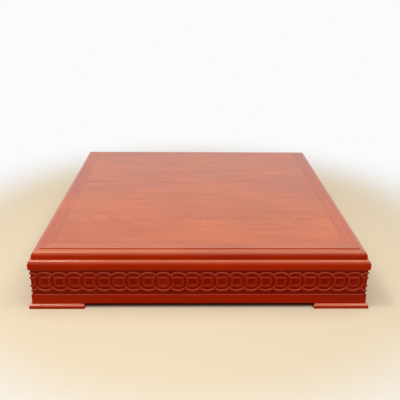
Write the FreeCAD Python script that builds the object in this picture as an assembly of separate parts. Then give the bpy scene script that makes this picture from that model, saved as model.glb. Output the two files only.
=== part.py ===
"""Low altar stand of red-stained hardwood: a framed and panelled top on a carved box, on four corner feet.

The origin is on the floor under the middle of the stand. +Z is up, and the front faces -Y.

The stand is put together as a joiner would do it. Five tongued boards float in a mitred top frame and are
held flat by dovetailed battens. Under the frame, a cornice, a carved frieze and a plinth go round as mitred
lengths, with the frieze tongued into the other two. A post in each corner carries the top down to a foot.
"""

import FreeCAD, Part

import math
import os

# Plan of the body, over the faces of the cornice
body_width = 968.0
body_depth = 968.0

# Heights of the layers, from the floor up
foot_height = 14.0
plinth_height = 30.0
frieze_height = 77.0
cornice_height = 32.0
top_thickness = 25.0

# How far each layer's face stands behind the cornice face, and the inner face that all the walls share
top_setback = 10.0
plinth_setback = 1.5
frieze_setback = 5.0
wall_inside = 28.0

# Top frame: its width, the thumbnail moulding on its edge, and the step up from that to the flat top
frame_width = 54.0
thumbnail_width = 20.5
thumbnail_round = 10.0
thumbnail_slope = math.radians(20.0)
quirk_step = 1.6

# Room left round every hidden tenon and spline
tenon_clearance = 0.2

# Hidden tenon at each corner of the top frame, from the front and back members into the side ones
corner_tenon_setback = 24.0
corner_tenon_width = 16.0
corner_tenon_thickness = 8.0
corner_tenon_rise = 5.0
corner_tenon_stop = 20.0

# Floating panel, and the tongue and groove that hold its boards to each other and to the frame
board_count = 5
board_thickness = 18.0
board_joint = 0.4
panel_joint = 0.5
groove_lip = 7.0
groove_width = 8.0
groove_depth = 8.0
tongue_length = 7.0
tongue_clearance = 0.2

# Dovetailed battens under the panel
batten_count = 3
batten_width = 40.0
batten_depth = 22.0
dovetail_depth = 5.0
dovetail_flare = 3.0
batten_clearance = 0.2
batten_tenon_width = 30.0
batten_tenon_thickness = 6.0
batten_tenon_length = 14.0
batten_tenon_rise = 1.5

# Cornice and plinth mouldings
cornice_oval_width = 9.0
cornice_oval_height = 12.0
cornice_bottom_round = 6.0
plinth_top_round = 3.0

# Groove in the cornice and in the plinth for the tongues of the frieze
wall_groove_setback = 12.0
wall_groove_width = 8.0
wall_groove_depth = 8.0

# Chain of overlapping coins carved on the frieze, and the place of the one that shows whole
carved_sides = ("front", "left", "right")
coin_radius = 31.5
coin_pitch = 41.4
coin_relief = 3.3
coin_tuck = 0.9
coin_hole = 18.0
whole_coin_places_left = 2

# Splines across the mitres of the cornice and the plinth
spline_thickness = 4.0
spline_length = 20.0
spline_setback = 21.0
spline_margin = 2.0

# Corner posts, with a stub tenon at each end
post_size = 46.0
post_tenon_size = 18.0
post_tenon_setback = 5.0
post_top_tenon = 12.0
post_bottom_tenon = 10.0

# Blocks glued into the angle between the cornice and the top frame
block_length = 70.0
block_size = 22.0
blocks_per_side = 2

# Feet: two mitred arms under each corner
foot_overhang = 8.0
foot_length = 159.0
foot_width = 80.0
foot_nosing = 5.0

# Levels and faces that follow from the sizes above
plinth_top = foot_height + plinth_height
frieze_top = plinth_top + frieze_height
cornice_top = frieze_top + cornice_height
top_face = cornice_top + top_thickness
frame_inside = top_setback + frame_width
board_bottom = top_face - board_thickness
groove_top = top_face - groove_lip
groove_bottom = groove_top - groove_width
tongue_bottom = groove_bottom + tongue_clearance
tongue_top = groove_top - tongue_clearance
foot_face = plinth_setback - foot_overhang

# The four sides: name, turn from the front in degrees, length along the side, and depth across it
SIDES = (
    ("front", 0, body_width, body_depth),
    ("right", 90, body_depth, body_width),
    ("back", 180, body_width, body_depth),
    ("left", 270, body_depth, body_width),
)
CORNERS = (
    ("front_left", -1, -1),
    ("front_right", 1, -1),
    ("back_right", 1, 1),
    ("back_left", -1, 1),
)
# Plan room that a mitre cut leaves outside and inside the cornice face
MITRE_OUTSIDE = 20.0
MITRE_INSIDE = 120.0

X = FreeCAD.Vector(1, 0, 0)
Y = FreeCAD.Vector(0, 1, 0)
Z = FreeCAD.Vector(0, 0, 1)


def box(x, y, z):
    """A box from three (low, high) pairs."""
    corner = FreeCAD.Vector(x[0], y[0], z[0])
    return Part.makeBox(x[1] - x[0], y[1] - y[0], z[1] - z[0], corner)


def at(setback, z):
    """A point of a wall's section: how far behind the cornice face, and how high."""
    return FreeCAD.Vector(0, setback, z)


def line(a, b):
    return Part.LineSegment(a, b).toShape()


def arc(a, through, b):
    return Part.Arc(a, through, b).toShape()


def on_circle(centre, radius, degrees):
    """A point of a circle in a section, counted from inwards and turning upwards."""
    turn = math.radians(degrees)
    return at(centre.y + radius * math.cos(turn), centre.z + radius * math.sin(turn))


def polyline(points):
    return [line(a, b) for a, b in zip(points, points[1:])]


def quarter_oval(low, high):
    """Two arcs from an upright face at low up to a level ledge at high, which meet half way round."""
    width, height = high.y - low.y, high.z - low.z
    uneven = (height - width) / (math.sqrt(2) - 1)
    low_radius = (width + height + uneven) / 2
    high_radius = (width + height - uneven) / 2
    low_centre = at(low.y + low_radius, low.z)
    high_centre = at(high.y, high.z - high_radius)
    meet = on_circle(low_centre, low_radius, 135)
    return [
        arc(low, on_circle(low_centre, low_radius, 157.5), meet),
        arc(meet, on_circle(high_centre, high_radius, 112.5), high),
    ]


def mitre_wedge(length):
    """All the room of one side between its two mitre planes, with the cornice face on y = 0."""
    out = length / 2 + MITRE_OUTSIDE
    inside = length / 2 - MITRE_INSIDE
    plan = [
        FreeCAD.Vector(-out, -MITRE_OUTSIDE, -1),
        FreeCAD.Vector(out, -MITRE_OUTSIDE, -1),
        FreeCAD.Vector(inside, MITRE_INSIDE, -1),
        FreeCAD.Vector(-inside, MITRE_INSIDE, -1),
    ]
    face = Part.Face(Part.makePolygon(plan + plan[:1]))
    return face.extrude(Z * (top_face + 2))


def mitred(edges, length):
    """A moulding of the section that the edges enclose, mitred at both ends."""
    reach = length / 2 + MITRE_OUTSIDE
    section = Part.Face(Part.Wire(edges))
    section.translate(X * -reach)
    return section.extrude(X * (2 * reach)).common(mitre_wedge(length))


def place(shape, turn, across):
    """Moves a piece of one side from the cornice face on y = 0 to its side of the stand."""
    shape.translate(Y * (-across / 2))
    shape.rotate(FreeCAD.Vector(0, 0, 0), Z, turn)
    return shape


def frame_section():
    """Section of a top frame member: thumbnail edge, quirk, flat top, and the groove for the panel."""
    outer, inner = top_setback, frame_inside
    long_radius = (thumbnail_width - thumbnail_round * (1 - math.sin(thumbnail_slope))) / math.sin(
        thumbnail_slope
    )
    rise = thumbnail_round * math.cos(thumbnail_slope) + long_radius * (1 - math.cos(thumbnail_slope))
    quirk_foot = at(outer + thumbnail_width, top_face - quirk_step)
    edge_top = at(outer, quirk_foot.z - rise)
    near_centre = at(outer + thumbnail_round, edge_top.z)
    far_centre = at(quirk_foot.y, quirk_foot.z - long_radius)
    turn = 90 + math.degrees(thumbnail_slope)
    meet = on_circle(near_centre, thumbnail_round, turn)
    groove_foot = inner - groove_depth
    return [
        line(at(outer, cornice_top), edge_top),
        arc(edge_top, on_circle(near_centre, thumbnail_round, (180 + turn) / 2), meet),
        arc(meet, on_circle(far_centre, long_radius, (turn + 90) / 2), quirk_foot),
        *polyline(
            [
                quirk_foot,
                at(quirk_foot.y, top_face),
                at(inner, top_face),
                at(inner, groove_top),
                at(groove_foot, groove_top),
                at(groove_foot, groove_bottom),
                at(inner, groove_bottom),
                at(inner, cornice_top),
                at(outer, cornice_top),
            ]
        ),
    ]


def corner_tenons(length, clearance):
    """The two corner tenons of a front or back frame member, or with a clearance their mortises."""
    z = cornice_top + corner_tenon_rise
    near = corner_tenon_setback
    tenons = []
    for end in (-1, 1):
        root = end * (length / 2 - frame_inside)
        tip = end * (length / 2 - corner_tenon_stop + clearance)
        tenons.append(
            box(
                sorted((root, tip)),
                (near - clearance, near + corner_tenon_width + clearance),
                (z - clearance, z + corner_tenon_thickness + clearance),
            )
        )
    return tenons


def post_shape(x_way, y_way, clearance):
    """A corner post with its stub tenons, or with a clearance the room that it needs."""
    shapes = []
    tenon_near = wall_inside + post_tenon_setback
    for near, size, bottom, top in (
        (wall_inside, post_size, foot_height, cornice_top),
        (
            tenon_near,
            post_tenon_size,
            foot_height - post_bottom_tenon,
            cornice_top + post_top_tenon,
        ),
    ):
        x = sorted(x_way * (body_width / 2 - near - reach) for reach in (0, size))
        y = sorted(y_way * (body_depth / 2 - near - reach) for reach in (0, size))
        grown = clearance if near == tenon_near else 0
        shapes.append(
            box(
                (x[0] - grown, x[1] + grown),
                (y[0] - grown, y[1] + grown),
                (bottom - grown, top + grown),
            )
        )
    return shapes[0].fuse(shapes[1]).removeSplitter()


def batten_places():
    """Where the battens lie across the width, evenly between the side members of the frame."""
    span = body_width - 2 * frame_inside
    return [span * ((i + 0.5) / batten_count - 0.5) for i in range(batten_count)]


def batten_shape(x, clearance):
    """A dovetailed batten with a tenon at each end, or with a clearance the room that it needs."""
    half = batten_width / 2 + clearance
    neck = half - dovetail_flare
    bottom = board_bottom - batten_depth
    length = body_depth - 2 * frame_inside
    outline = [
        (-half, bottom),
        (half, bottom),
        (half, board_bottom),
        (neck, board_bottom),
        (half, board_bottom + dovetail_depth + clearance),
        (-half, board_bottom + dovetail_depth + clearance),
        (-neck, board_bottom),
        (-half, board_bottom),
    ]
    points = [FreeCAD.Vector(x + across, -length / 2, z) for across, z in outline]
    bar = Part.Face(Part.makePolygon(points + points[:1])).extrude(Y * length)
    reach = length / 2 + batten_tenon_length + clearance
    z = cornice_top + batten_tenon_rise
    tenon = box(
        (x - batten_tenon_width / 2 - clearance, x + batten_tenon_width / 2 + clearance),
        (-reach, reach),
        (z - clearance, z + batten_tenon_thickness + clearance),
    )
    return bar.fuse(tenon).removeSplitter()


def top_frame():
    """The four members of the top frame, with their corner joints and the mortises for posts and battens."""
    posts = [post_shape(x, y, tenon_clearance) for _, x, y in CORNERS]
    battens = [batten_shape(x, batten_clearance) for x in batten_places()]
    mortises = []
    for name, turn, length, across in SIDES:
        if name in ("front", "back"):
            mortises += [place(t, turn, across) for t in corner_tenons(length, tenon_clearance)]
    members = {}
    for name, turn, length, across in SIDES:
        member = mitred(frame_section(), length)
        if name in ("front", "back"):
            member = member.fuse(corner_tenons(length, 0)).removeSplitter()
            member = place(member, turn, across).cut(battens)
        else:
            member = place(member, turn, across).cut(mortises)
        members["top_frame_" + name] = member.cut(posts)
    return members


def panel_boards():
    """The boards of the floating panel, tongued on their ends and back edges and grooved on their front edges."""
    battens = [batten_shape(x, batten_clearance) for x in batten_places()]
    half_x = body_width / 2 - frame_inside - panel_joint
    half_y = body_depth / 2 - frame_inside - panel_joint
    pitch = (2 * half_y + board_joint) / board_count
    boards = {}
    for i in range(board_count):
        front = -half_y + i * pitch
        back = front + pitch - board_joint
        tongue_front = front
        if i == 0:
            tongue_front -= panel_joint + tongue_length
        tongue_back = back + tongue_length
        if i == board_count - 1:
            tongue_back += panel_joint
        reach = half_x + panel_joint + tongue_length
        board = box((-half_x, half_x), (front, back), (board_bottom, top_face)).fuse(
            box((-reach, reach), (tongue_front, tongue_back), (tongue_bottom, tongue_top))
        )
        if i > 0:
            room = front - board_joint + groove_depth
            board = board.cut(box((-reach, reach), (front, room), (groove_bottom, groove_top)))
        boards["panel_board_%d" % (i + 1)] = board.cut(battens).removeSplitter()
    return boards


def panel_battens():
    return {
        "panel_batten_%d" % (i + 1): batten_shape(x, 0) for i, x in enumerate(batten_places())
    }


def cornice_section():
    """Section of the cornice: an oval shoulder over an upright face, and the groove for the frieze."""
    low = cornice_bottom_round
    shoulder = at(0, cornice_top - cornice_oval_height)
    ledge = at(cornice_oval_width, cornice_top)
    foot = at(low, frieze_top + low)
    groove_out = wall_groove_setback
    groove_in = groove_out + wall_groove_width
    return [
        *quarter_oval(shoulder, ledge),
        *polyline(
            [
                ledge,
                at(wall_inside, cornice_top),
                at(wall_inside, frieze_top),
                at(groove_in, frieze_top),
                at(groove_in, frieze_top + wall_groove_depth),
                at(groove_out, frieze_top + wall_groove_depth),
                at(groove_out, frieze_top),
                at(foot.y, frieze_top),
            ]
        ),
        arc(at(foot.y, frieze_top), on_circle(foot, low, 225), at(0, foot.z)),
        line(at(0, foot.z), shoulder),
    ]


def plinth_section():
    """Section of the plinth: a flat face with a rounded top edge, and the groove for the frieze."""
    face, top = plinth_setback, plinth_top_round
    head = at(face + top, plinth_top - top)
    groove_out = wall_groove_setback
    groove_in = groove_out + wall_groove_width
    return [
        arc(at(head.y, plinth_top), on_circle(head, top, 135), at(face, head.z)),
        *polyline(
            [
                at(face, head.z),
                at(face, foot_height),
                at(wall_inside, foot_height),
                at(wall_inside, plinth_top),
                at(groove_in, plinth_top),
                at(groove_in, plinth_top - wall_groove_depth),
                at(groove_out, plinth_top - wall_groove_depth),
                at(groove_out, plinth_top),
                at(head.y, plinth_top),
            ]
        ),
    ]


def spline_shapes(bottom, top, clearance):
    """The four splines of one course of mouldings, each across a mitre, or with a clearance their slots.

    A spline is tight in its slot across its thickness, and has room at its ends.
    """
    splines = []
    thick = spline_thickness / 2
    long = spline_length / 2 + clearance
    for _, x_way, y_way in CORNERS:
        spline = box((-long, long), (-thick, thick), (bottom - clearance, top + clearance))
        spline.rotate(FreeCAD.Vector(0, 0, 0), Z, -45 * x_way * y_way)
        spline.translate(
            FreeCAD.Vector(
                x_way * (body_width / 2 - spline_setback), y_way * (body_depth / 2 - spline_setback), 0
            )
        )
        splines.append(spline)
    return splines


def cornice_spline_span():
    return frieze_top + wall_groove_depth + spline_margin, cornice_top - spline_margin


def plinth_spline_span():
    return foot_height + spline_margin, plinth_top - wall_groove_depth - spline_margin


def wall_course(name, section, spline_span):
    """A course of four mitred mouldings and the splines across their corners."""
    slots = spline_shapes(*spline_span, tenon_clearance)
    course = {}
    for side, turn, length, across in SIDES:
        moulding = place(mitred(section, length), turn, across)
        course["%s_%s" % (name, side)] = moulding.cut(slots)
    course[name + "_mitre_splines"] = Part.makeCompound(spline_shapes(*spline_span, 0))
    return course


def coin(x, z, left_relief, right_relief):
    """A coin with a square hole, standing out from the ground of the frieze and sloping from side to side."""
    left, right = x - coin_radius, x + coin_radius
    plan = [
        FreeCAD.Vector(left, frieze_setback, z - coin_radius),
        FreeCAD.Vector(right, frieze_setback, z - coin_radius),
        FreeCAD.Vector(right, frieze_setback - right_relief, z - coin_radius),
        FreeCAD.Vector(left, frieze_setback - left_relief, z - coin_radius),
    ]
    slope = Part.Face(Part.makePolygon(plan + plan[:1])).extrude(Z * (2 * coin_radius))
    centre = FreeCAD.Vector(x, frieze_setback - coin_relief, z)
    half = coin_hole / 2
    hole = box(
        (x - half, x + half), (frieze_setback - coin_relief, frieze_setback), (z - half, z + half)
    )
    return Part.makeCylinder(coin_radius, coin_relief, centre, Y).common(slope).cut(hole)


def coin_chain(length):
    """The carved coins of one side. Each slopes down under its neighbour towards the one that shows whole.

    The first and last are centred on the outer corners of the relief and cut through by the mitres, so that
    a coin goes round each corner. The pitch is the nearest to the wanted one that brings the chain out even.
    """
    z = plinth_top + frieze_height / 2
    span = length - 2 * (frieze_setback - coin_relief)
    steps = round(span / coin_pitch)
    whole = steps // 2 - whole_coin_places_left
    coins = []
    for i in range(steps + 1):
        x = span * (i / steps - 0.5)
        left_relief = coin_tuck if i > whole else coin_relief
        right_relief = coin_tuck if i < whole else coin_relief
        coins.append(coin(x, z, left_relief, right_relief))
    return coins


def frieze_boards():
    """The four boards between cornice and plinth, tongued into both and mitred at the corners."""
    tongue_out = wall_groove_setback + tongue_clearance
    tongue_in = wall_groove_setback + wall_groove_width - tongue_clearance
    reach = wall_groove_depth - 2 * tongue_clearance
    boards = {}
    for side, turn, length, across in SIDES:
        half = length / 2
        added = [box((-half, half), (tongue_out, tongue_in), (plinth_top - reach, frieze_top + reach))]
        if side in carved_sides:
            added += coin_chain(length)
        board = box((-half, half), (frieze_setback, wall_inside), (plinth_top, frieze_top)).fuse(added)
        board = board.common(mitre_wedge(length)).removeSplitter()
        boards["frieze_" + side] = place(board, turn, across)
    return boards


def corner_posts():
    return {"corner_post_" + name: post_shape(x, y, 0) for name, x, y in CORNERS}


def glue_blocks():
    """Short blocks glued into the angle between the cornice and the top frame, spread along each side."""
    blocks = []
    for _, turn, length, across in SIDES:
        span = length - 2 * (wall_inside + post_size)
        for i in range(blocks_per_side):
            x = span * ((i + 0.5) / blocks_per_side - 0.5)
            block = box(
                (x - block_length / 2, x + block_length / 2),
                (wall_inside, wall_inside + block_size),
                (cornice_top - block_size, cornice_top),
            )
            blocks.append(place(block, turn, across))
    return {"glue_blocks": Part.makeCompound(blocks)}


def corner_feet():
    """The arms of the feet: nosed along the outside and round the free end, mitred at the corner of the stand.

    Where two arms meet, they share the mortise for the bottom tenon of the corner post.
    """
    nosing = min(foot_nosing, 0.9 * foot_height)
    posts = [post_shape(x, y, tenon_clearance) for _, x, y in CORNERS]
    feet = {}
    for i, (side, turn, length, across) in enumerate(SIDES):
        for end, corner in ((-1, CORNERS[i]), (1, CORNERS[(i + 1) % len(CORNERS)])):
            outer_end = end * (length / 2 - foot_face)
            free_end = outer_end - end * foot_length
            arm = box(
                sorted((outer_end, free_end)), (foot_face, foot_face + foot_width), (0, foot_height)
            )
            free_edge = FreeCAD.Vector(free_end, foot_face + foot_width / 2, foot_height)
            long_edge = FreeCAD.Vector((outer_end + free_end) / 2, foot_face, foot_height)
            showing = [
                edge
                for edge in arm.Edges
                if min((edge.CenterOfMass - free_edge).Length, (edge.CenterOfMass - long_edge).Length) < 1e-6
            ]
            arm = arm.makeFillet(nosing, showing).common(mitre_wedge(length))
            feet["foot_%s_%s_arm" % (corner[0], side)] = place(arm, turn, across).cut(posts)
    return feet


def export(pieces):
    os.makedirs("parts", exist_ok=True)
    for name, shape in pieces.items():
        shape.exportStep("parts/%s.step" % name)


export(top_frame())
export(panel_boards())
export(panel_battens())
export(wall_course("cornice", cornice_section(), cornice_spline_span()))
export(frieze_boards())
export(wall_course("plinth", plinth_section(), plinth_spline_span()))
export(corner_posts())
export(glue_blocks())
export(corner_feet())
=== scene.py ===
import math

import bmesh
import bpy
from mathutils import Matrix, Vector


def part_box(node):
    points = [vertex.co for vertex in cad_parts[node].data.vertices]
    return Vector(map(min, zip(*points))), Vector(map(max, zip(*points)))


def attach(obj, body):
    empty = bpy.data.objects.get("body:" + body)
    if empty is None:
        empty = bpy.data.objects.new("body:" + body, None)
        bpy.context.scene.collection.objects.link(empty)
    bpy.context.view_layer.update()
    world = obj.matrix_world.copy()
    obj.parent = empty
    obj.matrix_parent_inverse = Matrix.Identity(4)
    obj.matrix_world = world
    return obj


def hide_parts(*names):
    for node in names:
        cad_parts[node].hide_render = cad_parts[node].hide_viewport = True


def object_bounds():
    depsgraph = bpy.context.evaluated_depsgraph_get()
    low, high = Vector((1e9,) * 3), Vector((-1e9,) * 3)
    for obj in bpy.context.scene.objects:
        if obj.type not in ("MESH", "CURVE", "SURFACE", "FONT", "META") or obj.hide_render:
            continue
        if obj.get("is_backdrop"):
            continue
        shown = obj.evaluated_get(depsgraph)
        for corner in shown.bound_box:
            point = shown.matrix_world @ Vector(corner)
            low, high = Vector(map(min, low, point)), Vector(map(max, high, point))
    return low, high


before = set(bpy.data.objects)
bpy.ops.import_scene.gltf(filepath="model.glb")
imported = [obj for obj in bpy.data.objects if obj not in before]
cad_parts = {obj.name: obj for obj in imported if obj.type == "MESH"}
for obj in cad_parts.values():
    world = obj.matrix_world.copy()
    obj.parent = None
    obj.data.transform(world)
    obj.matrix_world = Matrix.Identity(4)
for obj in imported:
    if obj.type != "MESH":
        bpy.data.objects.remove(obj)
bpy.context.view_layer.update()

bpy.context.scene.view_settings.view_transform = "Standard"

# Feet. A low pad of red-stained, lacquered hardwood under each corner, of two arms mitred together.
# The top edge has a quarter-round nosing along the outside, which returns round the free end.
# Inside the nosing the pad rises a little, and the plinth stands on it.


def start_block(name, low, high):
    """Adds a cube that fills the box from low to high, as the blank of a piece."""
    bpy.ops.object.select_all(action="DESELECT")
    centre = [(a + b) / 2 for a, b in zip(low, high)]
    size = [b - a for a, b in zip(low, high)]
    bpy.ops.mesh.primitive_cube_add(size=1, location=centre, scale=size)
    bpy.ops.object.transform_apply(location=True, rotation=True, scale=True)
    blank = bpy.context.object
    blank.name = name
    blank.data.name = name
    return blank


def take_up(piece):
    """Makes the piece the only selected object, and the active one."""
    bpy.ops.object.select_all(action="DESELECT")
    piece.select_set(True)
    bpy.context.view_layer.objects.active = piece


def select_edges(piece, wanted):
    """In edit mode, selects the edges whose two ends both pass the test."""
    bpy.ops.mesh.select_mode(type="EDGE")
    bpy.ops.mesh.select_all(action="DESELECT")
    mesh = bmesh.from_edit_mesh(piece.data)
    for edge in mesh.edges:
        edge.select = all(wanted(vert.co) for vert in edge.verts)
    mesh.select_flush_mode()
    bmesh.update_edit_mesh(piece.data)


def round_edges(piece, wanted, radius, steps):
    """Rounds the edges that pass the test, as with a moulding plane."""
    take_up(piece)
    bpy.ops.object.mode_set(mode="EDIT")
    select_edges(piece, wanted)
    bpy.ops.mesh.bevel(offset=radius, segments=steps, profile=0.5, affect="EDGES")
    bpy.ops.object.mode_set(mode="OBJECT")


def saw(piece, through, waste):
    """Saws the piece along a plane. The side that waste points to falls away, and the cut is closed."""
    take_up(piece)
    bpy.ops.object.mode_set(mode="EDIT")
    bpy.ops.mesh.select_all(action="SELECT")
    bpy.ops.mesh.bisect(plane_co=through, plane_no=waste, use_fill=True, clear_outer=True)
    bpy.ops.object.mode_set(mode="OBJECT")


def ease_edges(piece, width, slot):
    """Takes the sharpness off every edge that is still sharp. The eased faces get the wood in slot."""
    take_up(piece)
    bevel = piece.modifiers.new("eased edges", "BEVEL")
    bevel.width = width
    bevel.segments = 2
    bevel.limit_method = "ANGLE"
    bevel.angle_limit = math.radians(50)
    bevel.material = slot
    bpy.ops.object.modifier_apply(modifier=bevel.name)


def shade(piece):
    """Smooth shading on rounded parts, with the flat faces kept flat."""
    take_up(piece)
    bpy.ops.object.shade_smooth_by_angle(angle=math.radians(40))
    even = piece.modifiers.new("even shading", "WEIGHTED_NORMAL")
    even.keep_sharp = True
    bpy.ops.object.modifier_apply(modifier=even.name)


def turned_copy(piece, name, quarters):
    """A copy with its own mesh, turned about the middle of the stand by quarter turns."""
    take_up(piece)
    bpy.ops.object.duplicate(linked=False)
    copy = bpy.context.object
    copy.name = name
    copy.data.name = name
    copy.rotation_euler[2] = math.radians(90 * quarters)
    bpy.ops.object.transform_apply(location=False, rotation=True, scale=False)
    return copy


def stands_for(piece, node):
    """The piece takes the place of a CAD node, and rides with the stand."""
    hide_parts(node)
    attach(piece, "root")


def make_slots(piece):
    """Two empty material slots, for the wood and for its rubbed edges, before the edges are eased."""
    piece.data.materials.append(None)
    piece.data.materials.append(None)


def dress(piece, wood, worn):
    """Gives the piece its wood, and the rubbed wood of its eased edges."""
    piece.data.materials.clear()
    piece.data.materials.append(wood)
    piece.data.materials.append(worn)


def lacquered_wood(
    name,
    quarters,
    shift,
    stain,
    painted_light,
    pith=(0.10, -0.16),
    tilt=1.5,
    curl=0.6,
    eyes=None,
    rough=0.3,
    figure=0.16,
    streaks=(1.2, 0.34),
    patches=0.22,
    shine=0.3,
    coat=0,
    glint=0,
):
    """Red-stained hardwood under satin lacquer, with its grain along the side that is quarters round.

    stain is a pair of a dark and a light tone, which the growth rings, the fibres, the streaks and the
    patches of stain run between. The pair after it does the same on faces that look up, and is painted
    light: the tones that light from above would give them, not a fading of the wood. Upright faces keep
    the stain.
    shift is where in the log the board was cut. pith is where the heart of the log lay beside and below
    the board, tilt how many degrees it ran askew, curl how wavy the rings are along the board, and eyes
    how far from the heart the waves break into eyes. figure is how strongly the rings show.
    streaks are how many to the metre along the grain and how strongly they show, and patches is how
    strongly the slow patches of stain show. rough and shine are the lacquer's own. coat is the weight of
    a second coat of lacquer, and glint that of one which is rubbed up only where it looks up.
    """
    material = bpy.data.materials.new(name)
    material.use_nodes = True
    nodes = material.node_tree.nodes
    links = material.node_tree.links
    shader = nodes["Principled BSDF"]

    where = nodes.new("ShaderNodeTexCoord")
    along = nodes.new("ShaderNodeMapping")
    along.name = "grain runs along X"
    along.inputs["Rotation"].default_value = (0, 0, math.radians(-90 * quarters))
    links.new(where.outputs["Object"], along.inputs["Vector"])
    moved = nodes.new("ShaderNodeMapping")
    moved.inputs["Location"].default_value = shift
    links.new(along.outputs["Vector"], moved.inputs["Vector"])

    def stretched_noise(scale, detail, roughness):
        stretch = nodes.new("ShaderNodeMapping")
        stretch.inputs["Scale"].default_value = scale
        links.new(moved.outputs["Vector"], stretch.inputs["Vector"])
        noise = nodes.new("ShaderNodeTexNoise")
        noise.inputs["Scale"].default_value = 1
        noise.inputs["Detail"].default_value = detail
        noise.inputs["Roughness"].default_value = roughness
        links.new(stretch.outputs["Vector"], noise.inputs["Vector"])
        return noise.outputs["Fac"]

    def spread(value, low, high, out_low, out_high):
        fit = nodes.new("ShaderNodeMapRange")
        fit.inputs["From Min"].default_value = low
        fit.inputs["From Max"].default_value = high
        fit.inputs["To Min"].default_value = out_low
        fit.inputs["To Max"].default_value = out_high
        links.new(value, fit.inputs["Value"])
        return fit.outputs["Result"]

    def worked(how, a, b):
        step = nodes.new("ShaderNodeMath")
        step.operation = how
        links.new(a, step.inputs[0])
        links.new(b, step.inputs[1])
        return step.outputs["Value"]

    heart = nodes.new("ShaderNodeMapping")
    heart.inputs["Location"].default_value = (0, pith[0], pith[1])
    heart.inputs["Rotation"].default_value = (0, math.radians(tilt), math.radians(tilt / 2))
    heart.inputs["Scale"].default_value = (curl, 1, 1)
    links.new(moved.outputs["Vector"], heart.inputs["Vector"])
    rings = nodes.new("ShaderNodeTexWave")
    rings.wave_type = "RINGS"
    rings.rings_direction = "X"
    rings.inputs["Scale"].default_value = 34
    rings.inputs["Distortion"].default_value = 5
    rings.inputs["Detail"].default_value = 3
    rings.inputs["Detail Scale"].default_value = 0.25
    links.new(heart.outputs["Vector"], rings.inputs["Vector"])
    ring_darkens, ring_lightens = 0.6, 0.4
    grown = spread(rings.outputs["Fac"], 0, 1, -ring_darkens * figure, ring_lightens * figure)
    if eyes:
        wavy_at_heart, wavy_aside = 7, 1.5
        faint_aside = 0.35
        across = nodes.new("ShaderNodeSeparateXYZ")
        links.new(heart.outputs["Vector"], across.inputs["Vector"])
        aside = nodes.new("ShaderNodeMath")
        aside.operation = "ABSOLUTE"
        links.new(across.outputs["Y"], aside.inputs[0])
        waves = spread(aside.outputs["Value"], eyes / 2, eyes, wavy_at_heart, wavy_aside)
        links.new(waves, rings.inputs["Distortion"])
        grown = worked("MULTIPLY", grown, spread(aside.outputs["Value"], eyes / 2, eyes, 1, faint_aside))

    fibres = stretched_noise(scale=(7, 330, 330), detail=5, roughness=0.6)
    bands = stretched_noise(scale=(streaks[0], 26, 26), detail=3, roughness=0.5)
    clouds = stretched_noise(scale=(3.5, 5, 5), detail=2, roughness=0.5)
    specks = stretched_noise(scale=(55, 1500, 1500), detail=2, roughness=0.5)
    pore_starts, pore_full = 0.60, 0.72
    pores = spread(specks, pore_starts, pore_full, 0, 1)
    noise_low, noise_high = 0.3, 0.7

    def centred(noise, mean, swing):
        return spread(noise, noise_low, noise_high, mean - swing / 2, mean + swing / 2)

    ringed = worked("ADD", grown, centred(fibres, mean=0.24, swing=0.28))
    streaked = centred(bands, mean=0.17, swing=streaks[1])
    patched = centred(clouds, mean=0.11, swing=patches)
    tone = worked("ADD", ringed, worked("ADD", streaked, patched))

    def colour_mix(factor, a, b):
        mix = nodes.new("ShaderNodeMix")
        mix.data_type = "RGBA"
        for socket, colour in (("A", a), ("B", b)):
            if isinstance(colour, bpy.types.NodeSocket):
                links.new(colour, mix.inputs[socket])
            else:
                mix.inputs[socket].default_value = (*colour, 1)
        links.new(factor, mix.inputs["Factor"])
        return mix.outputs["Result"]

    # Painted light: faces that look up take the second pair of tones, lighter or darker as light from
    # above would show them.
    painted_light_starts, painted_light_ends = 0.22, 0.72
    pore_strength, pore_tone = 0.4, 0.45
    surface = nodes.new("ShaderNodeNewGeometry")
    facing = nodes.new("ShaderNodeSeparateXYZ")
    links.new(surface.outputs["Normal"], facing.inputs["Vector"])
    painted_light_mask = spread(facing.outputs["Z"], painted_light_starts, painted_light_ends, 0, 1)
    grained = colour_mix(painted_light_mask, colour_mix(tone, *stain), colour_mix(tone, *painted_light))
    pore_stain = [c * pore_tone for c in stain[0]]
    filled = colour_mix(spread(pores, 0, 1, 0, pore_strength), grained, pore_stain)
    links.new(filled, shader.inputs["Base Color"])

    glossier, duller = 0.05, 0.06
    uneven = spread(clouds, noise_low, noise_high, rough - glossier, rough + duller)
    links.new(uneven, shader.inputs["Roughness"])
    relief = nodes.new("ShaderNodeBump")
    relief.inputs["Strength"].default_value = 0.25
    relief.inputs["Distance"].default_value = 0.00012
    raised = spread(fibres, noise_low, noise_high, 0, 1)
    pore_depth = 0.8
    sunk = spread(pores, 0, 1, 0, -pore_depth)
    links.new(worked("ADD", raised, sunk), relief.inputs["Height"])
    links.new(relief.outputs["Normal"], shader.inputs["Normal"])
    shader.inputs["IOR"].default_value = 1.5
    shader.inputs["Specular IOR Level"].default_value = shine
    shader.inputs["Specular Tint"].default_value = (1.0, 0.35, 0.06, 1)
    shader.inputs["Coat Weight"].default_value = coat
    shader.inputs["Coat Roughness"].default_value = 0.15
    if glint:
        glint_starts, glint_full = 0.15, 0.5
        rubbed_up = spread(facing.outputs["Z"], glint_starts, glint_full, 0, glint)
        links.new(rubbed_up, shader.inputs["Coat Weight"])
    return material


SIDES = ("front", "right", "back", "left")
CORNERS = ("front_left", "front_right", "back_right", "back_left")
wood_slot = 0
worn_slot = 1
middle = (0, 0, 0)
left_mitre = (-1, 1, 0)
right_mitre = (1, 1, 0)
joint_eased = 0.0003
near = 1e-5

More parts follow.
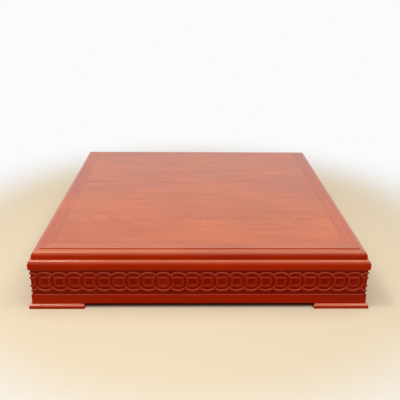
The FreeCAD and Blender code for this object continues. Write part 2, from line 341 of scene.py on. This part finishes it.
# Rubbed edges, lighter where the lacquer is worn. Their second pair of tones is painted light on the
# eased faces that look up.
worn_stain = ((0.48, 0.030, 0.008), (0.62, 0.056, 0.016))
worn_painted_light = ((0.54, 0.085, 0.034), (0.70, 0.140, 0.060))
worn_woods = []
for quarters, side in enumerate(SIDES):
    worn_woods.append(
        lacquered_wood("rubbed_edge_" + side, quarters, (0, 0, 0), worn_stain, worn_painted_light, rough=0.38)
    )


def frame_woods(name, start, stain, painted_light, glint):
    """The stained wood of a course, one for each side.

    start is where in the log the front's board was cut, and the next ones lay further along and in.
    """
    next_cut = (0.37, 0.11, 0.05)
    woods = []
    for quarters, side in enumerate(SIDES):
        shift = [a + b * quarters for a, b in zip(start, next_cut)]
        woods.append(lacquered_wood(name + "_" + side, quarters, shift, stain, painted_light, glint=glint))
    return woods


foot_low, foot_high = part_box("foot_front_left_front_arm")
plinth_low, plinth_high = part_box("plinth_front")
nosing = 0.007
nosing_steps = 8
foot_eased = 0.0007
foot_sunk = 0.001
foot_top = foot_high.z - foot_sunk
tucked_in = 0.0005
under_plinth = plinth_low.y - foot_low.y + tucked_in
foot_start = (0, 0, 0)
foot_stain = ((0.46, 0.017, 0.0006), (0.64, 0.034, 0.0012))
# The second pair is a painted highlight: a pale band on the nosing where it looks up.
foot_painted_light = ((0.56, 0.130, 0.070), (0.72, 0.200, 0.110))
foot_woods = frame_woods("lacquered_foot", foot_start, foot_stain, foot_painted_light, glint=0.8)

arm = start_block("foot_arm", foot_low, (foot_high.x, foot_high.y, foot_top))
make_slots(arm)
round_edges(
    arm,
    lambda co: co.z > foot_top - near
    and (co.y < foot_low.y + near or co.x > foot_high.x - near)
    and not (co.y > foot_high.y - near and co.x < foot_high.x - near),
    nosing,
    nosing_steps,
)
ease_edges(arm, foot_eased, worn_slot)
take_up(arm)
bpy.ops.object.mode_set(mode="EDIT")
select_edges(arm, lambda co: co.z > foot_top - near)
bpy.ops.mesh.inset(thickness=under_plinth - nosing)
bpy.ops.mesh.extrude_region_move(TRANSFORM_OT_translate={"value": (0, 0, foot_sunk)})
bpy.ops.object.mode_set(mode="OBJECT")
saw(arm, middle, left_mitre)
ease_edges(arm, joint_eased, wood_slot)
shade(arm)

take_up(arm)
bpy.ops.object.duplicate(linked=False)
other_arm = bpy.context.object
other_arm.scale[0] = -1
bpy.ops.object.transform_apply(location=False, rotation=False, scale=True)
bpy.ops.object.mode_set(mode="EDIT")
bpy.ops.mesh.select_all(action="SELECT")
bpy.ops.mesh.normals_make_consistent(inside=False)
bpy.ops.object.mode_set(mode="OBJECT")
shade(other_arm)

for quarters, side in enumerate(SIDES):
    for hand, corner in ((arm, CORNERS[quarters]), (other_arm, CORNERS[(quarters + 1) % 4])):
        copy = turned_copy(hand, "foot_arm_%s_%s" % (corner, side), quarters)
        dress(copy, foot_woods[quarters], worn_woods[quarters])
        stands_for(copy, "foot_%s_%s_arm" % (corner, side))
bpy.data.objects.remove(arm)
bpy.data.objects.remove(other_arm)

# Plinth. Four plain rails of the same wood on the feet, mitred at the corners of the stand.
# The top edge is rounded over, and the frieze stands in a groove behind it.


def mitre_ends(piece):
    """Saws both ends on the mitres of the stand, and eases the edges of the joints."""
    saw(piece, middle, left_mitre)
    saw(piece, middle, right_mitre)
    ease_edges(piece, joint_eased, wood_slot)
    shade(piece)


def set_round(piece, node, woods):
    """Sets a copy on each side of the stand, in place of the CAD nodes there. The blank is taken away."""
    for quarters, side in enumerate(SIDES):
        copy = turned_copy(piece, piece.name + "_" + side, quarters)
        dress(copy, woods[quarters], worn_woods[quarters])
        stands_for(copy, node + "_" + side)
    bpy.data.objects.remove(piece)


plinth_round = 0.003
plinth_round_steps = 6
plinth_eased = 0.0006
plinth_start = (2.15, 1.45, 1.85)
plinth_stain = ((0.36, 0.008, 0.0004), (0.62, 0.026, 0.001))
# The second pair is painted shade: it dims the rounded top edge, where light from above falls on it.
plinth_painted_light = ((0.25, 0.010, 0.002), (0.35, 0.020, 0.005))
rail = start_block("plinth_rail", plinth_low, plinth_high)
make_slots(rail)
round_edges(
    rail,
    lambda co: co.z > plinth_high.z - near and co.y < plinth_low.y + near,
    plinth_round,
    plinth_round_steps,
)
ease_edges(rail, plinth_eased, worn_slot)
mitre_ends(rail)
plinth_woods = frame_woods("lacquered_plinth", plinth_start, plinth_stain, plinth_painted_light, glint=0.3)
set_round(rail, "plinth", plinth_woods)

# Frieze. Four boards of the same wood, tongued into plinth and cornice, carved with a chain of coins.
# Each coin has a rounded rim and a raised frame round its square hole, and tucks under its neighbour.

frieze_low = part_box("frieze_front")[0]
cornice_low, cornice_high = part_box("cornice_front")
relief = 0.0033
ground = frieze_low.y + relief
board_back = plinth_high.y
board_overrun = 0.01
coin_raised = 0.0012
coin_height = (plinth_high.z + cornice_low.z) / 2 + coin_raised
coin_radius = 0.0326
coin_facets = 96
coin_tuck = 0.0012
coin_slope = math.asin(coin_tuck / (2 * coin_radius))
coin_steps = 23
coin_span = -2 * frieze_low.y
coin_pitch = coin_span / coin_steps
whole_coin = 9
rim_half = 0.0035
rim_flat = 0.75
rim_crest = 0.0032
rim_facets = 16
field_rise = 0.0014
field_flat = 0.0165
square_half = 0.0160
square_rise = 0.0030
square_round = 0.0014
square_round_steps = 3
hole_floor = 0.0008
hole_half = 0.0097
hole_front = 0.006
hole_slope = 0.3
buried = 0.006
lap = 0.0005
lap_reach = 0.02


def fuse(piece, tool, how):
    """Unites the piece with a tool, or cuts it by the tool, and takes the tool away."""
    take_up(piece)
    change = piece.modifiers.new("carving", "BOOLEAN")
    change.operation = how
    change.object = tool
    change.solver = "MANIFOLD"
    bpy.ops.object.modifier_apply(modifier=change.name)
    bpy.data.objects.remove(tool)


def round_blank(front_radius, back_radius, front, back, x):
    """A round block that lies along Y from front to back, and may taper."""
    bpy.ops.object.select_all(action="DESELECT")
    bpy.ops.mesh.primitive_cone_add(
        vertices=coin_facets,
        radius1=back_radius,
        radius2=front_radius,
        depth=back - front,
        location=(x, (front + back) / 2, 0),
        rotation=(math.pi / 2, 0, 0),
    )
    bpy.ops.object.transform_apply(location=True, rotation=True, scale=True)
    return bpy.context.object


def carve_coin(covered, turn, slope):
    """A coin that faces -Y on a ground at y = 0.

    turn is 1 where its right side slopes down under a neighbour, -1 for its left side, and 0 where it
    shows whole. The neighbour lies at x = covered.
    """
    bpy.ops.object.select_all(action="DESELECT")
    bpy.ops.mesh.primitive_torus_add(
        major_radius=coin_radius - rim_half,
        minor_radius=rim_half,
        major_segments=coin_facets,
        minor_segments=rim_facets,
        rotation=(math.pi / 2, 0, 0),
    )
    bpy.ops.object.transform_apply(location=True, rotation=True, scale=True)
    coin = bpy.context.object
    coin.name = "coin"
    bpy.ops.object.mode_set(mode="EDIT")
    bpy.ops.mesh.select_all(action="SELECT")
    bpy.ops.mesh.bisect(plane_co=(0, 0, 0), plane_no=(0, 1, 0), use_fill=False, clear_outer=True)
    bpy.ops.mesh.select_all(action="SELECT")
    bpy.ops.transform.resize(value=(1, rim_flat, 1), center_override=(0, 0, 0))
    select_edges(coin, lambda co: abs(co.y) < near)
    bpy.ops.mesh.extrude_region_move(TRANSFORM_OT_translate={"value": (0, buried, 0)})
    bpy.ops.mesh.bridge_edge_loops()
    bpy.ops.mesh.select_all(action="SELECT")
    bpy.ops.mesh.normals_make_consistent(inside=False)
    bpy.ops.transform.translate(value=(0, rim_half * rim_flat - rim_crest, 0))
    bpy.ops.object.mode_set(mode="OBJECT")

    plate_radius = coin_radius - rim_half
    fuse(coin, round_blank(plate_radius, plate_radius, 0, buried / 2, 0), "UNION")
    field = round_blank(field_flat, coin_radius - 2 * rim_half, -field_rise, buried / 4, 0)
    fuse(coin, field, "UNION")
    square = start_block(
        "square_frame",
        (-square_half, -square_rise, -square_half),
        (square_half, buried / 3, square_half),
    )
    round_edges(square, lambda co: co.y < -square_rise + near, square_round, square_round_steps)
    fuse(coin, square, "UNION")
    hole = start_block(
        "square_hole",
        (-hole_half, -hole_front, -hole_half),
        (hole_half, -hole_floor, hole_half),
    )
    bpy.ops.object.mode_set(mode="EDIT")
    select_edges(hole, lambda co: co.y < -hole_floor - near)
    flare = 1 + hole_slope * (hole_front - hole_floor) / hole_half
    bpy.ops.transform.resize(value=(flare, 1, flare), center_override=(0, 0, 0))
    bpy.ops.object.mode_set(mode="OBJECT")
    fuse(coin, hole, "DIFFERENCE")
    if turn:
        take_up(coin)
        bpy.ops.object.mode_set(mode="EDIT")
        bpy.ops.mesh.select_all(action="SELECT")
        edge = (-turn * coin_radius, 0, 0)
        bpy.ops.transform.rotate(value=-turn * slope, orient_axis="Z", center_override=edge)
        bpy.ops.object.mode_set(mode="OBJECT")
        lap_radius = coin_radius - lap
        fuse(coin, round_blank(lap_radius, lap_radius, -lap_reach, lap_reach, covered), "DIFFERENCE")
    return coin


left_coin = carve_coin(coin_pitch, 1, coin_slope)
right_coin = carve_coin(-coin_pitch, -1, coin_slope)
left_corner_coin = carve_coin(coin_pitch, 1, coin_slope / 2)
right_corner_coin = carve_coin(-coin_pitch, -1, coin_slope / 2)
top_coin = carve_coin(0, 0, 0)
chain = [left_corner_coin] + [left_coin] * (whole_coin - 1)
chain += [top_coin]
chain += [right_coin] * (coin_steps - whole_coin - 1) + [right_corner_coin]
board = start_block(
    "carved_frieze",
    (-coin_span / 2 - board_overrun, ground, plinth_high.z),
    (coin_span / 2 + board_overrun, board_back, cornice_low.z),
)
for i, model in enumerate(chain):
    take_up(model)
    bpy.ops.object.duplicate(linked=False)
    copy = bpy.context.object
    copy.location = (coin_span * (i / coin_steps - 0.5), ground, coin_height)
    bpy.ops.object.transform_apply(location=True, rotation=False, scale=False)
    fuse(board, copy, "UNION")
for model in (left_coin, right_coin, left_corner_coin, right_corner_coin, top_coin):
    bpy.data.objects.remove(model)
saw(board, middle, left_mitre)
saw(board, middle, right_mitre)
shade(board)

carving_stain = ((0.41, 0.012, 0.0020), (0.60, 0.027, 0.0045))
# The second pair is a painted highlight on the faces of the carving that look up.
carving_painted_light = ((0.46, 0.060, 0.024), (0.60, 0.100, 0.046))
carving_next_cut = 0.2
# Painted shade for the floor of the hollows in the carving.
hollow_painted_shade = (0.30, 0.003, 0.0003)
painted_shade_depth = 0.0018
gouge_cuts = 130
gouge_depth = 0.0006


def carved_wood(name, quarters):
    """The lacquered wood of the carving, with painted shade that darkens its hollows, and uneven from the
    cuts of the gouge.
    """
    shift = (carving_next_cut * quarters, 0, 0)
    wood = lacquered_wood(name, quarters, shift, carving_stain, carving_painted_light, glint=0.5)
    nodes = wood.node_tree.nodes
    links = wood.node_tree.links
    shader = nodes["Principled BSDF"]
    place = nodes["grain runs along X"].outputs["Vector"]
    parts = nodes.new("ShaderNodeSeparateXYZ")
    links.new(place, parts.inputs["Vector"])
    # Painted shade: the colour darkens towards the floor of the hollows, where less light would reach.
    depth = nodes.new("ShaderNodeMapRange")
    depth.interpolation_type = "SMOOTHSTEP"
    depth.inputs["From Min"].default_value = ground - painted_shade_depth
    depth.inputs["From Max"].default_value = ground
    links.new(parts.outputs["Y"], depth.inputs["Value"])
    hollows = nodes.new("ShaderNodeMix")
    hollows.data_type = "RGBA"
    hollows.inputs["B"].default_value = (*hollow_painted_shade, 1)
    links.new(shader.inputs["Base Color"].links[0].from_socket, hollows.inputs["A"])
    links.new(depth.outputs["Result"], hollows.inputs["Factor"])
    links.new(hollows.outputs["Result"], shader.inputs["Base Color"])
    cuts = nodes.new("ShaderNodeTexNoise")
    cuts.inputs["Scale"].default_value = gouge_cuts
    cuts.inputs["Detail"].default_value = 1
    links.new(place, cuts.inputs["Vector"])
    tooled = nodes.new("ShaderNodeBump")
    tooled.inputs["Strength"].default_value = 1
    tooled.inputs["Distance"].default_value = gouge_depth
    links.new(cuts.outputs["Fac"], tooled.inputs["Height"])
    links.new(shader.inputs["Normal"].links[0].from_socket, tooled.inputs["Normal"])
    links.new(tooled.outputs["Normal"], shader.inputs["Normal"])
    links.new(tooled.outputs["Normal"], shader.inputs["Coat Normal"])
    return wood


for quarters, side in enumerate(SIDES):
    copy = turned_copy(board, "carved_frieze_" + side, quarters)
    copy.data.materials.clear()
    copy.data.materials.append(carved_wood("lacquered_carving_" + side, quarters))
    stands_for(copy, "frieze_" + side)
bpy.data.objects.remove(board)

# Cornice. Four mitred mouldings of the same wood on the frieze, with an oval shoulder along the top.
# Posts and glue blocks hold them from inside.


def cut_rows(piece, rows):
    """Cuts the level top of the piece along lines at the given places in y."""
    level = 0.99
    take_up(piece)
    bpy.ops.object.mode_set(mode="EDIT")
    for row in rows:
        bpy.ops.mesh.select_mode(type="FACE")
        mesh = bmesh.from_edit_mesh(piece.data)
        for face in mesh.faces:
            face.select = face.normal.z > level
        mesh.select_flush_mode()
        bmesh.update_edit_mesh(piece.data)
        bpy.ops.mesh.bisect(plane_co=(0, row, 0), plane_no=(0, 1, 0))
    bpy.ops.object.mode_set(mode="OBJECT")


def lower_row(piece, wanted, drop):
    """Lowers the points that pass the test."""
    take_up(piece)
    bpy.ops.object.mode_set(mode="EDIT")
    bpy.ops.mesh.select_mode(type="VERT")
    bpy.ops.mesh.select_all(action="DESELECT")
    mesh = bmesh.from_edit_mesh(piece.data)
    for vert in mesh.verts:
        vert.select = wanted(vert.co)
    mesh.select_flush_mode()
    bmesh.update_edit_mesh(piece.data)
    bpy.ops.transform.translate(value=(0, 0, -drop))
    bpy.ops.object.mode_set(mode="OBJECT")


def plane_section(piece, face, top, section):
    """Planes a section along the edge between the upright face at y = face and the level top.

    The section is a list of how far in from the face, and how far down from the top.
    """
    cut_rows(piece, [face + inset for inset, drop in section[1:]])
    for inset, drop in section:
        lower_row(
            piece,
            lambda co, y=face + inset: abs(co.y - y) < near and abs(co.z - top) < near,
            drop,
        )


section_steps = 7


def shoulder_section(width, low_radius, slope, stretch):
    """The section of a shoulder, from the upright face to the level top, for plane_section.

    It is two arcs: low_radius from the upright face to where it slopes by slope, then a flatter one.
    The lower arc is drawn out downwards by stretch.
    """
    high_radius = (width - low_radius * (1 - math.sin(slope))) / math.sin(slope)
    turn = math.pi / 2 - slope
    section = []
    for i in range(section_steps):
        angle = turn * i / section_steps
        rise = stretch * low_radius * (math.sin(turn) - math.sin(angle))
        section.append((low_radius * (1 - math.cos(angle)), high_radius * (1 - math.cos(slope)) + rise))
    for i in range(section_steps):
        angle = slope * (1 - i / section_steps)
        section.append((width - high_radius * math.sin(angle), high_radius * (1 - math.cos(angle))))
    return section


shoulder_width = 0.010
shoulder_height = 0.012
shoulder_slope = math.radians(45)
shoulder_stretch = 1.35
shoulder_radius = (
    shoulder_width + shoulder_height + (shoulder_height - shoulder_width) / (math.sqrt(2) - 1)
) / 2
ledge_sunk = 0.001
cornice_foot_round = 0.0058
cornice_foot_steps = 6
cornice_eased = 0.0006
cornice_start = (0, 0, 0)
cornice_stain = ((0.40, 0.011, 0.0003), (0.70, 0.032, 0.001))
# The second pair is a painted highlight along the shoulder, where it looks up.
cornice_painted_light = ((0.46, 0.066, 0.015), (0.58, 0.102, 0.026))
shoulder = shoulder_section(shoulder_width, shoulder_radius, shoulder_slope, shoulder_stretch)
shoulder = [(inset, drop + ledge_sunk) for inset, drop in shoulder]
shoulder += [(shoulder_width, ledge_sunk), (shoulder_width + ledge_sunk, 0)]
moulding = start_block("cornice_moulding", cornice_low, cornice_high)
make_slots(moulding)
plane_section(moulding, cornice_low.y, cornice_high.z, shoulder)
round_edges(
    moulding,
    lambda co: co.z < cornice_low.z + near and co.y < cornice_low.y + near,
    cornice_foot_round,
    cornice_foot_steps,
)
ease_edges(moulding, cornice_eased, worn_slot)
mitre_ends(moulding)
cornice_woods = frame_woods("lacquered_cornice", cornice_start, cornice_stain, cornice_painted_light, glint=0.8)
set_round(moulding, "cornice", cornice_woods)

# Posts, blocks and splines. Plain planed wood inside the box, seen only from underneath.
# Posts stand in the corners, blocks are glued under the top, splines lie in slots across the mitres.


def planed_wood(name, axis, shift):
    """Unfinished hardwood, planed, with its grain along the given axis (0, 1 or 2)."""
    material = bpy.data.materials.new(name)
    material.use_nodes = True
    nodes = material.node_tree.nodes
    links = material.node_tree.links
    shader = nodes["Principled BSDF"]
    where = nodes.new("ShaderNodeTexCoord")
    stretch = nodes.new("ShaderNodeMapping")
    across_grain, along_grain = 240, 6
    scale = [across_grain, across_grain, across_grain]
    scale[axis] = along_grain
    stretch.inputs["Scale"].default_value = scale
    stretch.inputs["Location"].default_value = shift
    links.new(where.outputs["Object"], stretch.inputs["Vector"])
    fibres = nodes.new("ShaderNodeTexNoise")
    fibres.inputs["Scale"].default_value = 1
    fibres.inputs["Detail"].default_value = 6
    links.new(stretch.outputs["Vector"], fibres.inputs["Vector"])
    colour = nodes.new("ShaderNodeValToRGB")
    dark, light = colour.color_ramp.elements
    dark.position = 0.32
    dark.color = (0.30, 0.15, 0.075, 1)
    light.position = 0.68
    light.color = (0.52, 0.31, 0.18, 1)
    links.new(fibres.outputs["Fac"], colour.inputs["Fac"])
    links.new(colour.outputs["Color"], shader.inputs["Base Color"])
    rough = nodes.new("ShaderNodeMapRange")
    rough.inputs["To Min"].default_value = 0.55
    rough.inputs["To Max"].default_value = 0.75
    links.new(fibres.outputs["Fac"], rough.inputs["Value"])
    links.new(rough.outputs["Result"], shader.inputs["Roughness"])
    relief = nodes.new("ShaderNodeBump")
    relief.inputs["Strength"].default_value = 0.3
    relief.inputs["Distance"].default_value = 0.0003
    links.new(fibres.outputs["Fac"], relief.inputs["Height"])
    links.new(relief.outputs["Normal"], shader.inputs["Normal"])
    return material


def leave_bare(node, wood):
    """Leaves the CAD node in place, in bare wood."""
    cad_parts[node].data.materials.clear()
    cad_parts[node].data.materials.append(wood)


upright_wood = planed_wood("planed_wood_upright", axis=2, shift=(0, 0, 0))
for corner in CORNERS:
    leave_bare("corner_post_" + corner, upright_wood)
leave_bare("cornice_mitre_splines", upright_wood)
leave_bare("plinth_mitre_splines", upright_wood)
leave_bare("glue_blocks", planed_wood("planed_wood_blocks", axis=0, shift=(3, 1, 2)))

# Top frame. Four wide mitred members of the same wood, with a thumbnail edge outside a small quirk.
# The panel lies in a groove along their inner edges, flush with their top.

top_low, top_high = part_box("top_frame_front")
frame_width = 0.054
frame_inner = top_low.y + frame_width
frame_eased = 0.0004
thumbnail_width = 0.0205
thumbnail_round = 0.010
thumbnail_slope = math.radians(20)
thumbnail_stretch = 1.6
quirk = top_low.y + thumbnail_width
quirk_step = 0.0016
quirk_dip = 0.0014
quirk_wall = 0.0003
thumbnail = shoulder_section(thumbnail_width, thumbnail_round, thumbnail_slope, thumbnail_stretch)
thumbnail = [(inset, drop + quirk_step) for inset, drop in thumbnail]
thumbnail += [(thumbnail_width - quirk_wall, quirk_step + quirk_dip), (thumbnail_width, 0)]
member = start_block("top_frame_member", top_low, (top_high.x, frame_inner, top_high.z))
make_slots(member)
plane_section(member, top_low.y, top_high.z, thumbnail)
ease_edges(member, frame_eased, worn_slot)
for face in member.data.polygons:
    if abs(face.center.y - quirk) < quirk_step and face.center.z < top_high.z - quirk_step / 2:
        face.material_index = wood_slot
mitre_ends(member)

top_start = (1.72, 1.16, 1.48)
top_next_cut = (0.3, 0, 0.1)
top_stain = ((0.33, 0.0065, 0.0003), (0.70, 0.029, 0.0013))
# The second pair is painted sheen on the top and the thumbnail, which look up. Each side's tones below
# scale it.
top_painted_light = ((0.385, 0.087, 0.047), (0.650, 0.178, 0.083))
top_light_tones = ((0.96, 0.96, 0.96), (0.95, 0.82, 0.74), (0.96, 0.92, 0.90), (0.88, 0.76, 0.68))
top_woods = []
for quarters, side in enumerate(SIDES):
    top_woods.append(
        lacquered_wood(
            "lacquered_top_frame_" + side,
            quarters,
            [a + b * quarters for a, b in zip(top_start, top_next_cut)],
            top_stain,
            [[a * b for a, b in zip(tone, top_light_tones[quarters])] for tone in top_painted_light],
            patches=0.5,
            shine=0.4,
            glint=0.3,
        )
    )
set_round(member, "top_frame", top_woods)

# Panel and battens. Five lacquered boards from side to side, tongued together and flush in the frame.
# The first three come from one log and show its eyes, the last two from a plainer one.
# One joint has opened at its left end. Three dovetailed battens across the underside keep them flat.

panel_gap = 0.0002
panel_half = -frame_inner - panel_gap
board_count = 5
board_width = 2 * panel_half / board_count
board_eased = 0.0002
joint_halves = (0, 0.00002, 0.00002, 0.0002, 0.00002, 0)
opened_board = 3
opened_length = 0.16
opened_width = 0.0018
panel_stain = plinth_stain
# The second pair is painted sheen: the whole top of the panel looks up, so it takes these tones.
panel_painted_light = ((0.404, 0.072, 0.023), (0.608, 0.148, 0.052))
panel_tones = (1.0, 0.99, 0.98, 0.96, 0.94)
front_log = {
    "shift": (0, 0.26, -top_high.z),
    "pith": (0, 0.15),
    "tilt": 1.0,
    "curl": 5.5,
    "eyes": 0.08,
    "figure": 0.24,
    "streaks": (3.5, 0.36),
    "patches": 0.45,
}
back_log = {
    "shift": (0.06, 0.26, -top_high.z),
    "pith": (0.09, 0.19),
    "tilt": -1.4,
    "curl": 0.6,
    "figure": 0.2,
    "streaks": (3.5, 0.46),
    "patches": 0.45,
}
logs = (front_log, front_log, front_log, back_log, back_log)
for i in range(board_count):
    node = "panel_board_%d" % (i + 1)
    board_low, board_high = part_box(node)
    front_edge = -panel_half + i * board_width + joint_halves[i]
    back_edge = -panel_half + (i + 1) * board_width - joint_halves[i + 1]
    low = Vector((-panel_half, front_edge, board_low.z))
    high = Vector((panel_half, back_edge, board_high.z))
    plank = start_block("panel_top_board_%d" % (i + 1), low, high)
    make_slots(plank)
    if i == opened_board:
        closed = Vector((low.x + opened_length, low.y, high.z))
        saw(plank, closed, (-opened_width / opened_length, -1, 0))
    ease_edges(plank, board_eased, worn_slot)
    shade(plank)
    wood = lacquered_wood(
        "lacquered_panel_%d" % (i + 1),
        0,
        stain=panel_stain,
        painted_light=[[c * panel_tones[i] for c in tone] for tone in panel_painted_light],
        rough=0.32,
        shine=0.5,
        coat=0.4,
        **logs[i],
    )
    dress(plank, wood, wood)
    stands_for(plank, node)
batten_count = 3
batten_next_cut = (5, 3, 0)
for i in range(batten_count):
    shift = [step * i for step in batten_next_cut]
    batten_wood = planed_wood("planed_wood_batten_%d" % (i + 1), axis=1, shift=shift)
    leave_bare("panel_batten_%d" % (i + 1), batten_wood)

# Studio. A pale floor that fades to white all round, soft light from above, and the photograph's view.
# The floor and the sky look the same to the camera and in the lacquer.

floor_size = 30
floor_near = (0.78, 0.66, 0.47)
floor_bounce = (0.34, 0.19, 0.06)
# Painted shadow: the floor under the stand is coloured dark, where the stand keeps the light off it.
floor_painted_shadow = (0.22, 0.03, 0.006)
floor_far = (0.96, 0.96, 0.96)
fade_starts, fade_ends = 0.75, 1.35
painted_shadow_edge = 0.020
bpy.ops.object.select_all(action="DESELECT")
bpy.ops.mesh.primitive_plane_add(size=floor_size, location=(0, 0, 0))
floor = bpy.context.object
floor.name = "studio_floor"
paint = bpy.data.materials.new("studio_floor")
paint.use_nodes = True
nodes = paint.node_tree.nodes
links = paint.node_tree.links
shader = nodes["Principled BSDF"]
shader.inputs["Roughness"].default_value = 0.7
shader.inputs["Specular IOR Level"].default_value = 0.2
where = nodes.new("ShaderNodeTexCoord")
distance = nodes.new("ShaderNodeVectorMath")
distance.operation = "LENGTH"
links.new(where.outputs["Object"], distance.inputs[0])
fade = nodes.new("ShaderNodeMapRange")
fade.interpolation_type = "SMOOTHSTEP"
fade.inputs["From Min"].default_value = fade_starts
fade.inputs["From Max"].default_value = fade_ends
links.new(distance.outputs["Value"], fade.inputs["Value"])
tint = nodes.new("ShaderNodeMix")
tint.data_type = "RGBA"
tint.inputs["A"].default_value = (*floor_near, 1)
tint.inputs["B"].default_value = (*floor_far, 1)
links.new(fade.outputs["Result"], tint.inputs["Factor"])
# Painted shadow: the floor darkens inside the stand's outline, with a soft edge.
apart = nodes.new("ShaderNodeVectorMath")
apart.operation = "ABSOLUTE"
links.new(where.outputs["Object"], apart.inputs[0])
aside = nodes.new("ShaderNodeSeparateXYZ")
links.new(apart.outputs["Vector"], aside.inputs["Vector"])
farther = nodes.new("ShaderNodeMath")
farther.operation = "MAXIMUM"
links.new(aside.outputs["X"], farther.inputs[0])
links.new(aside.outputs["Y"], farther.inputs[1])
unshadowed_floor = nodes.new("ShaderNodeMapRange")
unshadowed_floor.interpolation_type = "SMOOTHSTEP"
unshadowed_floor.inputs["From Min"].default_value = -plinth_low.y - painted_shadow_edge
unshadowed_floor.inputs["From Max"].default_value = -plinth_low.y
links.new(farther.outputs["Value"], unshadowed_floor.inputs["Value"])
covered = nodes.new("ShaderNodeMix")
covered.data_type = "RGBA"
covered.inputs["A"].default_value = (*floor_painted_shadow, 1)
links.new(tint.outputs["Result"], covered.inputs["B"])
links.new(unshadowed_floor.outputs["Result"], covered.inputs["Factor"])


def seen_directly(tree):
    """1 for what the camera sees, directly or mirrored, and 0 for the light that falls on things."""
    path = tree.nodes.new("ShaderNodeLightPath")
    total = path.outputs["Is Camera Ray"]
    for kind in ("Is Glossy Ray", "Is Transmission Ray"):
        most = tree.nodes.new("ShaderNodeMath")
        most.operation = "MAXIMUM"
        tree.links.new(total, most.inputs[0])
        tree.links.new(path.outputs[kind], most.inputs[1])
        total = most.outputs["Value"]
    return total


direct = seen_directly(paint.node_tree)
lit = nodes.new("ShaderNodeMix")
lit.data_type = "RGBA"
lit.inputs["A"].default_value = (*floor_bounce, 1)
links.new(covered.outputs["Result"], lit.inputs["B"])
links.new(direct, lit.inputs["Factor"])
links.new(lit.outputs["Result"], shader.inputs["Base Color"])
white = nodes.new("ShaderNodeEmission")
white.inputs["Color"].default_value = (*floor_far, 1)
shown = nodes.new("ShaderNodeMath")
shown.operation = "MULTIPLY"
links.new(direct, shown.inputs[0])
links.new(fade.outputs["Result"], shown.inputs[1])
surface = nodes.new("ShaderNodeMixShader")
links.new(shown.outputs["Value"], surface.inputs["Fac"])
links.new(shader.outputs["BSDF"], surface.inputs[1])
links.new(white.outputs["Emission"], surface.inputs[2])
links.new(surface.outputs["Shader"], nodes["Material Output"].inputs["Surface"])
floor.data.materials.append(paint)
floor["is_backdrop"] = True

sky_light = 0.21
sky_shown = 0.96
world = bpy.data.worlds.new("studio_sky")
bpy.context.scene.world = world
world.use_nodes = True
sky = world.node_tree.nodes["Background"]
sky.inputs["Color"].default_value = (1, 1, 1, 1)
strength = world.node_tree.nodes.new("ShaderNodeMapRange")
strength.inputs["To Min"].default_value = sky_light
strength.inputs["To Max"].default_value = sky_shown
world.node_tree.links.new(seen_directly(world.node_tree), strength.inputs["Value"])
world.node_tree.links.new(strength.outputs["Result"], sky.inputs["Strength"])


def soft_light(name, place, aim, size, power):
    """A square soft box that looks at a point."""
    lamp = bpy.data.lights.new(name, "AREA")
    lamp.size = size
    lamp.energy = power
    holder = bpy.data.objects.new(name, lamp)
    bpy.context.scene.collection.objects.link(holder)
    holder.location = place
    holder.rotation_euler = (Vector(aim) - Vector(place)).to_track_quat("-Z", "Y").to_euler()


soft_light("overhead", place=(-0.05, -0.8, 2.7), aim=(0, 0, 0.1), size=4.0, power=79)
soft_light("left", place=(-1.05, -0.6, 2.6), aim=(-0.4, -0.3, 0.1), size=0.5, power=18)
soft_light("right", place=(1.2, -0.6, 2.6), aim=(0.4, -0.3, 0.1), size=0.4, power=7)

photo_focal = 535.68
photo_width = 400
sensor = 36.0
camera_place = (-0.02717, -1.80258, 0.88349)
yaw, pitch, roll = -0.019012, 0.392026, 0.009442
camera = bpy.data.objects.new("camera", bpy.data.cameras.new("camera"))
bpy.context.scene.collection.objects.link(camera)
camera.data.sensor_width = sensor
camera.data.lens = photo_focal * sensor / photo_width
camera.location = camera_place
turned = (
    Matrix.Rotation(yaw, 3, "Z")
    @ Matrix.Rotation(math.pi / 2 - pitch, 3, "X")
    @ Matrix.Rotation(roll, 3, "Z")
)
camera.rotation_euler = turned.to_euler()
bpy.context.scene.camera = camera

low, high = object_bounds()
